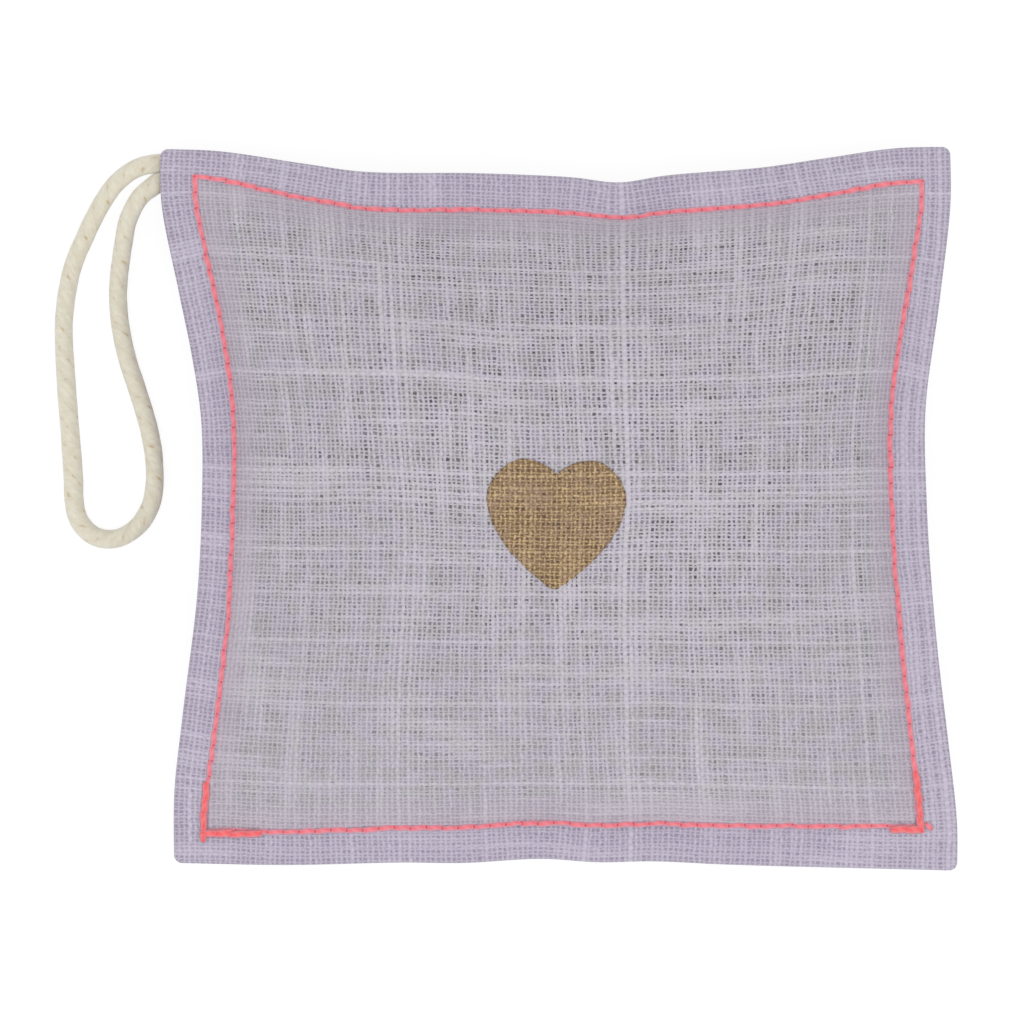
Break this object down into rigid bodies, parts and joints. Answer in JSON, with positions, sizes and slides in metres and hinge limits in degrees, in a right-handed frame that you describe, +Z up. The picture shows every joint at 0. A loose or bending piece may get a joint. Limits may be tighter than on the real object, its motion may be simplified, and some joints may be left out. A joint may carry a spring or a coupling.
{
  "type": "lavender sachet",
  "caption": "Linen lavender sachet with coral topstitching, a small gold heart print and a cotton cord loop sewn into one corner.",
  "frame": {"origin": "on the table under the middle of the pouch, which lies on its back panel", "axes": "+Z up through the front panel, +X to the right of the heart print, +Y to its top"},
  "size_m": [0.1274, 0.102, 0.0227],
  "materials": {
    "linen": "open plain weave, matt",
    "dried_lavender": "loose dried flower buds",
    "gold_ink": "metallic gold screen print on cloth",
    "coral_thread": "bright polyester sewing thread",
    "inner_thread": "plain sewing thread",
    "cotton_cord": "soft twisted natural cotton"
  },
  "bodies": {
    "pouch": {"front_panel": "linen", "back_panel": "linen", "lavender_filling": "dried_lavender", "heart_print": "gold_ink", "seam_thread": "inner_thread", "topstitch_needle_thread": "coral_thread", "topstitch_bobbin_thread": "coral_thread", "closing_needle_thread": "coral_thread", "closing_bobbin_thread": "coral_thread", "backtack_left_needle": "coral_thread", "backtack_right_needle": "coral_thread", "backtack_closing_left_needle": "coral_thread", "backtack_closing_right_needle": "coral_thread", "backtack_left_bobbin": "coral_thread", "backtack_right_bobbin": "coral_thread", "backtack_closing_left_bobbin": "coral_thread", "backtack_closing_right_bobbin": "coral_thread", "cord_tail_upper": "cotton_cord", "cord_tail_lower": "cotton_cord"},
    "loop": {"hanging_loop": "cotton_cord"}
  },
  "joints": [
    {"name": "loop_swing", "type": "hinge", "parent": "pouch", "child": "loop", "pos_m": [-0.05884, 0.0462, 0.0055], "axis": [0, 1, 0], "range_deg": [0, 115]}
  ]
}
